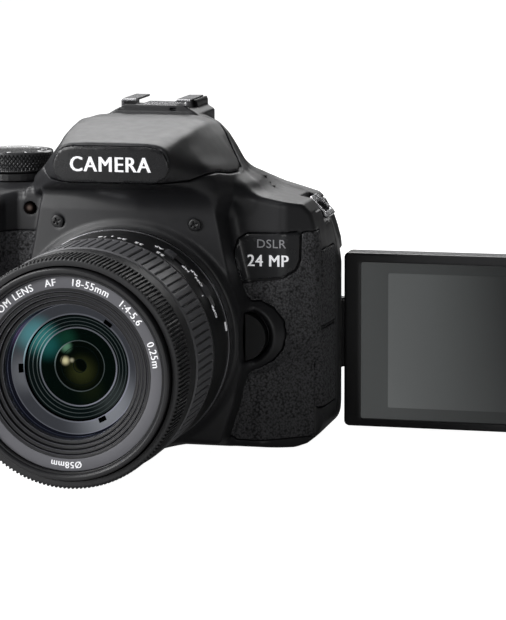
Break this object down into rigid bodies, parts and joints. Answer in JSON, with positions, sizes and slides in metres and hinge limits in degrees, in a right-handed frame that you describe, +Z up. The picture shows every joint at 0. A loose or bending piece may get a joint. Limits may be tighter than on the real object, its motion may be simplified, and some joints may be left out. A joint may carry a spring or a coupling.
{
  "type": "digital camera",
  "caption": "Black single-lens reflex camera with grip, retracting zoom lens, pop-up flash, dials, finder and a fold-out screen that swings and tilts, shown open.",
  "frame": {"origin": "on the flat base, under the lens axis, in the plane of the image sensor's face", "axes": "+X to the right of someone facing the lens, -Y the way the lens looks, +Z up"},
  "size_m": [0.2142, 0.1358, 0.1038],
  "materials": {
    "body_plastic": "fine matt texture",
    "control_plastic": "satin black",
    "lens_plastic": "satin black",
    "ring_rubber": "ribbed",
    "grip_rubber": "leather-grained",
    "inner_plastic": "matt black",
    "steel": "satin",
    "mirror": "polished",
    "lens_glass": "coated",
    "screen_glass": "glossy",
    "sensor_glass": "glossy",
    "circuit_board": "lacquered",
    "clear_plastic": "frosted"
  },
  "bodies": {
    "camera_body": {"front_cover": "body_plastic", "rear_cover": "body_plastic", "top_cover": "body_plastic", "bottom_cover": "body_plastic", "grip_rubber": "grip_rubber", "side_rubber": "grip_rubber", "thumb_rubber": "grip_rubber", "mount_ring": "steel", "mirror_box": "inner_plastic", "pentamirror": "inner_plastic", "eyepiece_lens": "lens_glass", "eyecup": "grip_rubber", "shutter_frame": "inner_plastic", "image_sensor": "sensor_glass", "main_board": "circuit_board", "battery_pack": "inner_plastic", "tripod_socket": "steel", "focus_lamp": "clear_plastic", "accessory_shoe": "steel", "shoe_contacts": "body_plastic", "strap_lug_left": "steel", "strap_lug_right": "steel"},
    "reflex_mirror": {"reflex_mirror": "mirror"},
    "shutter_curtain": {"shutter_curtain": "inner_plastic"},
    "battery_door": {"battery_door": "body_plastic"},
    "door_latch": {"door_latch": "control_plastic"},
    "flash": {"flash_head": "body_plastic", "flash_window": "clear_plastic", "nose_plate": "body_plastic"},
    "mode_dial": {"mode_dial": "control_plastic"},
    "power_lever": {"power_lever": "control_plastic"},
    "shutter_button": {"shutter_button": "control_plastic"},
    "command_dial": {"command_dial": "control_plastic"},
    "iso_button": {"iso_button": "control_plastic"},
    "lens_release_button": {"lens_release_button": "control_plastic"},
    "menu_button": {"menu_button": "control_plastic"},
    "info_button": {"info_button": "control_plastic"},
    "live_view_button": {"live_view_button": "control_plastic"},
    "exposure_lock_button": {"exposure_lock_button": "control_plastic"},
    "focus_start_button": {"focus_start_button": "control_plastic"},
    "quick_button": {"quick_button": "control_plastic"},
    "playback_button": {"playback_button": "control_plastic"},
    "set_button": {"set_button": "control_plastic"},
    "control_ring": {"control_ring": "control_plastic"},
    "terminal_cover_upper": {"terminal_cover_upper": "grip_rubber"},
    "terminal_cover_lower": {"terminal_cover_lower": "grip_rubber"},
    "screen_hinge": {"screen_hinge": "body_plastic"},
    "screen": {"screen_back": "body_plastic", "screen_bezel": "body_plastic", "screen_glass": "screen_glass"},
    "lens": {"lens_bayonet": "steel", "lens_barrel": "lens_plastic", "rear_element": "lens_glass"},
    "focus_mode_switch": {"focus_mode_switch": "control_plastic"},
    "stabiliser_switch": {"stabiliser_switch": "control_plastic"},
    "zoom_ring": {"zoom_ring": "ring_rubber"},
    "inner_tube": {"inner_barrel": "lens_plastic", "name_ring": "lens_plastic", "front_element": "lens_glass"},
    "focus_ring": {"focus_ring": "ring_rubber"}
  },
  "joints": [
    {"name": "mirror_flip", "type": "hinge", "parent": "camera_body", "child": "reflex_mirror", "pos_m": [0, -0.01, 0.0495], "axis": [-1, 0, 0], "range_deg": [0, 45]},
    {"name": "shutter_curtain_slide", "type": "slide", "parent": "camera_body", "child": "shutter_curtain", "axis": [0, 0, -1], "range_m": [0, 0.019]},
    {"name": "battery_door_hinge", "type": "hinge", "parent": "camera_body", "child": "battery_door", "pos_m": [-0.0502, -0.015, 0.0002], "axis": [0, -1, 0], "range_deg": [0, 95]},
    {"name": "door_latch_slide", "type": "slide", "parent": "battery_door", "child": "door_latch", "axis": [1, 0, 0], "range_m": [0, 0.002], "stiffness_N_per_m": 120},
    {"name": "flash_hinge", "type": "hinge", "parent": "camera_body", "child": "flash", "pos_m": [0, -0.0092, 0.0992], "axis": [-1, 0, 0], "range_deg": [0, 60]},
    {"name": "mode_dial_turn", "type": "hinge", "parent": "camera_body", "child": "mode_dial", "pos_m": [-0.0452, -0.004, 0.084], "axis": [0, 0, 1], "continuous": true},
    {"name": "power_lever_turn", "type": "hinge", "parent": "camera_body", "child": "power_lever", "pos_m": [-0.0452, -0.004, 0.08], "axis": [0, 0, 1], "range_deg": [0, 50]},
    {"name": "shutter_button_slide", "type": "slide", "parent": "camera_body", "child": "shutter_button", "axis": [0, 0.3714, -0.9285], "range_m": [0, 0.0012], "stiffness_N_per_m": 250},
    {"name": "command_dial_turn", "type": "hinge", "parent": "camera_body", "child": "command_dial", "pos_m": [-0.057, -0.028, 0.0724], "axis": [1, 0, 0], "continuous": true},
    {"name": "iso_button_slide", "type": "slide", "parent": "camera_body", "child": "iso_button", "axis": [0, 0, -1], "range_m": [0, 0.0006], "stiffness_N_per_m": 250},
    {"name": "lens_release_button_slide", "type": "slide", "parent": "camera_body", "child": "lens_release_button", "axis": [0, 1, 0], "range_m": [0, 0.0016], "stiffness_N_per_m": 250},
    {"name": "menu_button_slide", "type": "slide", "parent": "camera_body", "child": "menu_button", "axis": [0, -1, 0], "range_m": [0, 0.0006], "stiffness_N_per_m": 250},
    {"name": "info_button_slide", "type": "slide", "parent": "camera_body", "child": "info_button", "axis": [0, -1, 0], "range_m": [0, 0.0006], "stiffness_N_per_m": 250},
    {"name": "live_view_button_slide", "type": "slide", "parent": "camera_body", "child": "live_view_button", "axis": [0, -1, 0], "range_m": [0, 0.0006], "stiffness_N_per_m": 250},
    {"name": "exposure_lock_button_slide", "type": "slide", "parent": "camera_body", "child": "exposure_lock_button", "axis": [0, -1, 0], "range_m": [0, 0.0006], "stiffness_N_per_m": 250},
    {"name": "focus_start_button_slide", "type": "slide", "parent": "camera_body", "child": "focus_start_button", "axis": [0, -1, 0], "range_m": [0, 0.0006], "stiffness_N_per_m": 250},
    {"name": "quick_button_slide", "type": "slide", "parent": "camera_body", "child": "quick_button", "axis": [0, -1, 0], "range_m": [0, 0.0006], "stiffness_N_per_m": 250},
    {"name": "playback_button_slide", "type": "slide", "parent": "camera_body", "child": "playback_button", "axis": [0, -1, 0], "range_m": [0, 0.0006], "stiffness_N_per_m": 250},
    {"name": "set_button_slide", "type": "slide", "parent": "camera_body", "child": "set_button", "axis": [0, -1, 0], "range_m": [0, 0.0006], "stiffness_N_per_m": 250},
    {"name": "control_ring_turn", "type": "hinge", "parent": "camera_body", "child": "control_ring", "pos_m": [-0.052, 0.0205, 0.027], "axis": [0, 1, 0], "continuous": true},
    {"name": "terminal_cover_upper_turn", "type": "hinge", "parent": "camera_body", "child": "terminal_cover_upper", "pos_m": [0.0543, -0.0169, 0.0485], "axis": [0, 0, -1], "range_deg": [0, 110]},
    {"name": "terminal_cover_lower_turn", "type": "hinge", "parent": "camera_body", "child": "terminal_cover_lower", "pos_m": [0.0543, -0.0169, 0.0239], "axis": [0, 0, -1], "range_deg": [0, 110]},
    {"name": "screen_swing", "type": "hinge", "parent": "camera_body", "child": "screen_hinge", "pos_m": [0.0526, 0.0152, 0.0282], "axis": [0, 0, 1], "range_deg": [0, 180]},
    {"name": "screen_tilt", "type": "hinge", "parent": "screen_hinge", "child": "screen", "pos_m": [0.0526, 0.0152, 0.0282], "axis": [1, 0, 0], "range_deg": [-90, 180]},
    {"name": "lens_bayonet_turn", "type": "hinge", "parent": "camera_body", "child": "lens", "pos_m": [0, -0.044, 0.0358], "axis": [0, -1, 0], "range_deg": [0, 60]},
    {"name": "focus_mode_switch_move", "type": "hinge", "parent": "lens", "child": "focus_mode_switch", "pos_m": [0, -0.057, 0.0358], "axis": [0, 1, 0], "range_deg": [0, 4]},
    {"name": "stabiliser_switch_move", "type": "hinge", "parent": "lens", "child": "stabiliser_switch", "pos_m": [0, -0.057, 0.0358], "axis": [0, 1, 0], "range_deg": [0, 4]},
    {"name": "zoom_turn", "type": "hinge", "parent": "lens", "child": "zoom_ring", "pos_m": [0, -0.076, 0.0358], "axis": [0, 1, 0], "range_deg": [0, 60]},
    {"name": "zoom_slide", "type": "slide", "parent": "lens", "child": "inner_tube", "axis": [0, -1, 0], "range_m": [0, 0.018]},
    {"name": "focus_turn", "type": "hinge", "parent": "inner_tube", "child": "focus_ring", "pos_m": [0, -0.095, 0.0358], "axis": [0, 1, 0], "continuous": true}
  ],
  "couplings": [
    {"joint": "zoom_slide", "follows": "zoom_turn", "m_per_rad": 0.017189}
  ]
}
